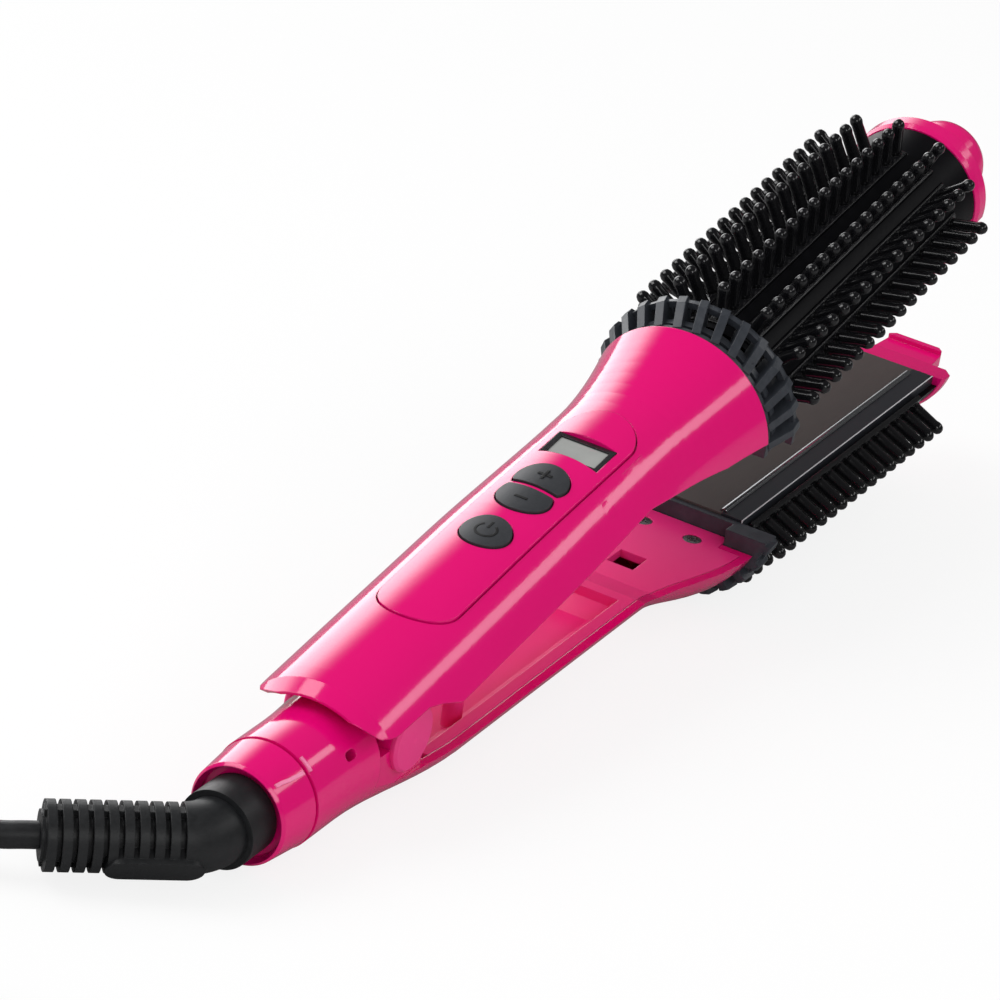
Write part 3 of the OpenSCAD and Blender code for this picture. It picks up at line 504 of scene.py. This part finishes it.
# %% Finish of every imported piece
FINISHES = [
    (pink, ["lower_handle_shell", "tail_housing", "lock_ring", "upper_handle_shell",
            "upper_handle_base", "latch_hook", "control_panel"]),
    (pink_cap, ["lower_end_cap", "upper_end_rim", "cool_tip"]),
    (pink_satin, ["lower_handle_cover", "hinge_covers"]),
    (nylon, ["lower_heat_guard", "upper_heat_guard"]),
    (bezel_black, ["display_bezel"]),
    (button_black, ["button_plus", "button_minus", "button_power"]),
    (black_gloss, ["lower_bristles", "upper_bristles"]),
    (barrel_black, ["lower_barrel", "upper_barrel"]),
    (rubber, ["swivel_collar", "strain_relief", "cord_run", "cord_coil", "plug_lead", "cord_tie",
              "plug_body", "tact_switches"]),
    (plate_coat, ["lower_plate", "upper_plate"]),
    (chrome, ["plate_rails"]),
    (steel, ["deck_screws", "hinge_pin", "arm_spring", "cap_screw", "base_screws", "plug_pins"]),
    (ceramic, ["lower_heater", "upper_heater", "lower_thermal_fuse", "upper_thermal_fuse"]),
    (glass_grey, ["display_window"]),
    (board_green, ["lcd_module", "control_board"]),
    (brass, ["slip_contacts"]),
]


def dress(piece, material):
    """Gives a piece one material all over."""
    if not piece.data.materials:
        piece.data.materials.append(material)
    for held in piece.material_slots:
        held.material = material


for finish, names in FINISHES:
    for name in names:
        dress(frame["nodes"][name], finish)
dress(cord, rubber)
bare = set(frame["nodes"]) - {name for finish, names in FINISHES for name in names}
print("pieces without a finish:", sorted(bare))

# %% [markdown]
# ## The brush's pins
# Each row is a moulded strip with stout pins whose ends are rounded and a little thicker than
# their stems. One pin is a profile spun about its own axis, and it is then copied to every
# place, which keeps all of them alike and costs only a few dozen faces each.

# %% One pin
PIN_PROFILE = [
    # radius, height above the arm's axis
    (0, 17), (1.7, 17), (1.5, 18.4), (1.4, 24.0), (1.55, 24.8), (1.5, 25.4), (1.2, 26.1),
    (0.65, 26.55), (0, 26.7),
]
PIN_SIDES = 12
JOINED_WITHIN = 0.01 * MM
pin = bmesh.new()
corners = [pin.verts.new((radius * MM, 0, height * MM)) for radius, height in PIN_PROFILE]
edges = [pin.edges.new(pair) for pair in zip(corners, corners[1:])]
bmesh.ops.spin(pin, geom=[*corners, *edges], cent=(0, 0, 0), axis=(0, 0, 1),
               angle=2 * math.pi, steps=PIN_SIDES, use_merge=True)
bmesh.ops.remove_doubles(pin, verts=pin.verts, dist=JOINED_WITHIN)
bmesh.ops.recalc_face_normals(pin, faces=pin.faces)
for face in pin.faces:
    face.smooth = True
pin_mesh = bpy.data.meshes.new("one pin")
pin.to_mesh(pin_mesh)
pin.free()
print("one pin:", len(pin_mesh.polygons), "faces")

# %% [markdown]
# The rows stand round each arm's half barrel at even angles. Copying the pin into one mesh
# makes each arm's brush a single piece that rides on its arm. An array modifier would do for
# one row, but not for rows that are turned. The strips come last, so that the one bevel that
# softens them leaves the pins alone.

# %% From a bmesh to an object
def add_mesh(name, shape):
    """Turns a finished bmesh into a mesh object."""
    data = bpy.data.meshes.new(name)
    shape.to_mesh(data)
    shape.free()
    print(name, "faces:", len(data.polygons))
    return add_object(name, data)


# %% Rows of pins
PIN_X, PIN_PITCH, PINS = 196.5 * MM, 5.57 * MM, 17
STRIP_X0, STRIP_X1 = 194 * MM, 288.12 * MM
STRIP_W, STRIP_H, STRIP_SEAT, STRIP_EDGE = 4.4 * MM, 1.4 * MM, 16 * MM, 0.35 * MM
ROW_TURN = math.radians(26)


def brush_rows(name, place, turns, body, node):
    """Strips with pins, each turned about the arm's axis by its own angle from straight up."""
    rows = bmesh.new()
    for turn in turns:
        for step in range(PINS):
            first = len(rows.verts)
            rows.from_mesh(pin_mesh)
            rows.verts.ensure_lookup_table()
            foot = Matrix.Translation((PIN_X + step * PIN_PITCH, 0, 0))
            bmesh.ops.transform(rows, matrix=place @ Matrix.Rotation(turn, 4, "X") @ foot,
                                verts=rows.verts[first:])
    middle = Matrix.Translation(((STRIP_X0 + STRIP_X1) / 2, 0, STRIP_SEAT + STRIP_H / 2))
    size = Matrix.Diagonal((STRIP_X1 - STRIP_X0, STRIP_W, STRIP_H, 1))
    strips = []
    for turn in turns:
        spot = place @ Matrix.Rotation(turn, 4, "X") @ middle @ size
        strips.append(bmesh.ops.create_cube(rows, size=1, matrix=spot))
    rims = {edge for strip in strips for vertex in strip["verts"] for edge in vertex.link_edges}
    bmesh.ops.bevel(rows, geom=list(rims), offset=STRIP_EDGE, offset_type="OFFSET",
                    affect="EDGES", segments=2, profile=0.5, material=-1)
    piece = add_mesh(name, rows)
    dress(piece, black_gloss)
    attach(piece, body)
    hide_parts(node)


UPPER_ROWS = [step * ROW_TURN for step in range(-3, 4)]
LOWER_ROWS = [math.pi + (step - 2.5) * ROW_TURN for step in range(6)]
brush_rows("upper_pins", UPPER, UPPER_ROWS, "upper_arm", "upper_bristles")
brush_rows("lower_pins", LOWER, LOWER_ROWS, "lower_arm", "lower_bristles")

# %% [markdown]
# ## The lock ring's mark
# A raised line bends round on the ring's right side and shows which way the ring locks, with a
# short tick on the housing beside it. A texture could show them, but a step of real height
# catches the light as the moulded one does. Both are strips of square section that follow the
# surface a hair above it, in a paler pink that is a painted highlight for their lit edges.

# %% Raised line and tick
LINE_W, LINE_T, LINE_ROOT = 0.8 * MM, 0.35 * MM, 0.4


def raised_line(name, points, body, radius_at, round_way=0):
    """A low strip through points of (place, angle), on a turned surface of the lower arm.

    The strip is as wide as LINE_W across its own way: round_way is 0 where it runs along the
    arm and 1 where it runs round it. Its foot is sunk into the surface by a share of LINE_T.
    """
    strip = bmesh.new()
    sections = []
    for place, turn in points:
        radius = radius_at(place)
        section = []
        for side, rise in ((-0.5, -LINE_ROOT), (0.5, -LINE_ROOT), (0.5, 1), (-0.5, 1)):
            angle = math.radians(turn) + (1 - round_way) * side * LINE_W / radius
            out = radius + rise * LINE_T
            spot = Vector((place * MM + round_way * side * LINE_W,
                           out * math.cos(angle), out * math.sin(angle)))
            section.append(strip.verts.new(LOWER @ spot))
        sections.append(section)
    for first, second in zip(sections, sections[1:]):
        for step in range(4):
            after = (step + 1) % 4
            strip.faces.new((first[step], first[after], second[after], second[step]))
    strip.faces.new(sections[0])
    strip.faces.new(sections[-1])
    bmesh.ops.recalc_face_normals(strip, faces=strip.faces)
    piece = add_mesh(name, strip)
    # The paler pink is a painted highlight on the strip.
    dress(piece, pink_painted_highlight)
    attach(piece, body)


RING_X0, RING_L, RING_R0, RING_GROWS, HOUSING_R = 0.7, 9.4, 10.8, 0.9, 11.9


def ring_radius(place):
    """Radius of the lock ring's slightly conical outside."""
    return (RING_R0 + RING_GROWS * (place - RING_X0) / RING_L) * MM


def housing_radius(place):
    """Radius of the tail housing beside the ring, where it is a cylinder."""
    return HOUSING_R * MM


RING_LINE = [(1.6, 128), (3.5, 129), (5.5, 131), (7.5, 132), (9.6, 133)]
RING_TICK = [(11.4, turn) for turn in (120, 124, 128, 132, 136)]
raised_line("ring_line", RING_LINE, "lock_ring", ring_radius)
raised_line("ring_tick", RING_TICK, "lower_arm", housing_radius, round_way=1)

# %% [markdown]
# ## Flush caps over the base screws
# The two front screws of the upper grip end at its skin. A thin round cap on each side follows
# the grip's curve over the screw's end, and thins out to nothing at its rim, so that no edge
# catches the light. It is drawn as rings of points, because a flat disc wouldn't bend.

# %% Caps
CAP_X, CAP_TURN, CAP_R, CAP_T = 122 * MM, math.radians(46), 1.9 * MM, 0.06 * MM
GRIP_R = 18.94 * MM
CAP_STEPS, CAP_FALL = 24, 6
caps = bmesh.new()
for side in (-1, 1):
    rings = []
    for share in (0, 0.5, 1):
        ring = []
        for step in range(CAP_STEPS if share else 1):
            spin = step * 2 * math.pi / CAP_STEPS
            turn = CAP_TURN + share * CAP_R * math.sin(spin) / GRIP_R
            out = GRIP_R + CAP_T * (1 - share ** CAP_FALL)
            spot = Vector((CAP_X + share * CAP_R * math.cos(spin),
                           side * out * math.cos(turn), out * math.sin(turn)))
            ring.append(caps.verts.new(UPPER @ spot))
        rings.append(ring)
    for inner, outer in zip(rings, rings[1:]):
        for step in range(CAP_STEPS):
            after = (step + 1) % CAP_STEPS
            corners = [inner[step % len(inner)], outer[step], outer[after],
                       inner[after % len(inner)]]
            caps.faces.new(list(dict.fromkeys(corners)))
bmesh.ops.recalc_face_normals(caps, faces=caps.faces)
for face in caps.faces:
    face.smooth = True
screw_caps = add_mesh("base_screw_caps", caps)
dress(screw_caps, pink)
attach(screw_caps, "upper_arm")

# %% [markdown]
# ## Marks on the buttons
# Plus, minus and power are dark marks on the crowned button tops. Each one is cut from simple
# bars and an arc, given a hair of thickness, and bent to the crown so that it lies on it
# everywhere.

# %% Where the buttons' tops are
POWER_X, MINUS_X, PLUS_X = 92.6 * MM, 106.9 * MM, 117.1 * MM
MARK_T = 0.12 * MM


def crown(button):
    """Height of a button's top above the arm's axis, along the middle."""
    corners = [UPPER.inverted() @ vertex.co for vertex in frame["nodes"][button].data.vertices]
    return max(math.hypot(corner.y, corner.z) for corner in corners)


def finish_mark(name, shape, x, button, body):
    """Bends a flat mark over the button's crown and lets it ride with the button."""
    top = crown(button)
    for vertex in shape.verts:
        lift = math.sqrt(top ** 2 - vertex.co.y ** 2)
        vertex.co = UPPER @ Vector((x + vertex.co.x, vertex.co.y, lift + vertex.co.z))
    bmesh.ops.recalc_face_normals(shape, faces=shape.faces)
    piece = add_mesh(name, shape)
    dress(piece, mark_dark)
    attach(piece, body)


print("button tops, in mm above the axis:",
      [round(crown(button) / MM, 2) for button in ("button_plus", "button_minus", "button_power")])

# %% Bars and an arc
BAR_CUTS, ARC_STEPS = 3, 28


def bar(shape, length, width, turn=0.0, centre_x=0.0):
    """A thin bar, cut across so that it can bend."""
    place = Matrix.Translation((centre_x, 0, 0)) @ Matrix.Rotation(turn, 4, "Z")
    cube = bmesh.ops.create_cube(shape, size=1,
                                 matrix=place @ Matrix.Diagonal((length, width, MARK_T, 1)))
    edges = list({edge for vertex in cube["verts"] for edge in vertex.link_edges})
    bmesh.ops.subdivide_edges(shape, edges=edges, cuts=BAR_CUTS, use_grid_fill=True)


def arc(shape, radius, width, gap):
    """A flat ring that stays open at one side, spun from a small square section."""
    start = Matrix.Rotation(gap / 2, 4, "Z")
    corners = [start @ Vector((radius + dx * width / 2, 0, dz * MARK_T / 2))
               for dx, dz in ((-1, -1), (1, -1), (1, 1), (-1, 1))]
    section = shape.faces.new([shape.verts.new(corner) for corner in corners])
    bmesh.ops.spin(shape, geom=[section, *section.edges, *section.verts], cent=(0, 0, 0),
                   axis=(0, 0, 1), angle=2 * math.pi - gap, steps=ARC_STEPS)


# %% The three marks
SIGN_STROKE, PLUS_L, MINUS_L = 0.7 * MM, 3.4 * MM, 3.0 * MM
POWER_STROKE, POWER_R, POWER_GAP = 0.65 * MM, 2.3 * MM, math.radians(70)
POWER_BAR_L, POWER_BAR_X = 2.4 * MM, 1.9 * MM
ACROSS = math.pi / 2

plus = bmesh.new()
bar(plus, PLUS_L, SIGN_STROKE)
bar(plus, PLUS_L, SIGN_STROKE, ACROSS)
finish_mark("mark_plus", plus, PLUS_X, "button_plus", "button_plus")

minus = bmesh.new()
bar(minus, MINUS_L, SIGN_STROKE, ACROSS)
finish_mark("mark_minus", minus, MINUS_X, "button_minus", "button_minus")

power = bmesh.new()
arc(power, POWER_R, POWER_STROKE, POWER_GAP)
bar(power, POWER_BAR_L, POWER_STROKE, centre_x=POWER_BAR_X)
finish_mark("mark_power", power, POWER_X, "button_power", "button_power")

# %% [markdown]
# ## The studio
# A white floor runs out under a white sky. Seen directly both are close to white, and the floor
# keeps a faint shadow. The gloss needs something dark to reflect as well, or the pink would
# wash out. So mirror rays meet a greyer floor and a dim sky, with one broad glow ahead on the
# left, which is the wide white band along the grips.

# %% Floor
FLOOR_HALF = 6
FLOOR_WHITE, FLOOR_MIRRORED = (0.9, 0.9, 0.9), (0.3, 0.3, 0.3)
FLOOR_GLOW = 0.84
floor_shape = bmesh.new()
bmesh.ops.create_grid(floor_shape, x_segments=1, y_segments=1, size=FLOOR_HALF)
floor = add_mesh("floor", floor_shape)

floor_paint = Paint("floor", {"Roughness": 0.9})
seen = floor_paint.node("ShaderNodeLightPath", output="Is Camera Ray")
mirrored = floor_paint.node("ShaderNodeLightPath", output="Is Glossy Ray")
through = floor_paint.node("ShaderNodeLightPath", output="Is Transmission Ray")
floor_paint.feed(floor_paint.shader, "Base Color",
                 floor_paint.mix(mirrored, FLOOR_WHITE, FLOOR_MIRRORED))
lit = Value(floor_paint, floor_paint.shader.outputs[0])
glow = floor_paint.node("ShaderNodeEmission", inputs={"Color": (1, 1, 1, 1), "Strength": 1.0})
shared = floor_paint.node("ShaderNodeMixShader",
                          inputs={0: (seen + through) * FLOOR_GLOW, 1: lit, 2: glow})
floor_paint.feed(floor_paint.tree.nodes["Material Output"], "Surface", shared)
dress(floor, floor_paint.material)

# %% [markdown]
# The sky is told apart by direction. A dot product says how far a direction reaches along a
# given way, and a smooth step turns that into a share. Four such shares frame the glow: its
# upper limit, its two sides, and the half of the sky behind, which stays dim.

# %% Sky
WHITE, SKY_LIGHT, SKY_DIM, SKY_GLOW = [(grey,) * 3 for grey in (1.0, 0.64, 0.08, 3.4)]
GLOW_TURN = math.radians(57)
GLOW_TOP, GLOW_SIDE, GLOW_BACK = (0.37, 0.72), (0.26, 0.5), (-0.3, 0.0)
UP = Vector((0, 0, 1))

world = bpy.data.worlds.new("studio")
world.use_nodes = True
bpy.context.scene.world = world
sky = Nodes(world.node_tree)
direction = sky.node("ShaderNodeTexCoord", output="Generated")
seen_by_camera = sky.node("ShaderNodeLightPath", output="Is Camera Ray")
seen_in_gloss = sky.node("ShaderNodeLightPath", output="Is Glossy Ray")


def sky_share(way, limits):
    """1 where a direction reaches less far along the way than the first limit, 0 past the last."""
    reach = sky.node("ShaderNodeVectorMath", {"operation": "DOT_PRODUCT"}, {0: direction, 1: way},
                     "Value")
    return sky.node("ShaderNodeMapRange", {"interpolation_type": "SMOOTHSTEP"},
                    {"Value": reach, "From Min": limits[0], "From Max": limits[1],
                     "To Min": 1, "To Max": 0})


onward = heading(GLOW_TURN)
glossy = sky.mix(sky_share(UP, GLOW_TOP), SKY_DIM, SKY_GLOW)
for way, limits in ((left_of(onward), GLOW_SIDE), (-left_of(onward), GLOW_SIDE),
                    (-onward, GLOW_BACK)):
    glossy = sky.mix(sky_share(way, limits), SKY_DIM, glossy)
shown = sky.mix(seen_by_camera, sky.mix(seen_in_gloss, SKY_LIGHT, glossy), WHITE)
sky.feed(sky.tree.nodes["Background"], "Color", shown)
print("sky nodes:", len(sky.tree.nodes))

# %% [markdown]
# Each soft box is an area lamp that faces the styler. The large one to the left and above
# shapes the grips, the long narrow one ahead to the right draws the thin bright band, and a
# small one behind to the right lifts the shadow side.

# %% Lamps
SOFT_BOXES = [
    # name, way from the styler, distance, width, height, watts
    ("key box", (-0.35, 0.75, 0.9), 1.3, 0.9, 0.9, 9),
    ("strip box", (0.36, -0.68, 0.64), 1.4, 1.4, 0.22, 2.6),
    ("fill box", (-0.7, -0.6, 0.5), 1.5, 0.5, 0.5, 2.5),
]
for name, way, distance, width, height, watts in SOFT_BOXES:
    lamp = bpy.data.lights.new(name, "AREA")
    lamp.shape = "RECTANGLE"
    lamp.size, lamp.size_y, lamp.energy = width, height, watts
    towards = Vector(way).normalized()
    facing = towards.to_track_quat("Z", "Y").to_matrix().to_4x4()
    add_object(name, lamp).matrix_world = Matrix.Translation(towards * distance) @ facing
bpy.context.scene.view_settings.view_transform = "Standard"
print("lamps:", [box[0] for box in SOFT_BOXES])
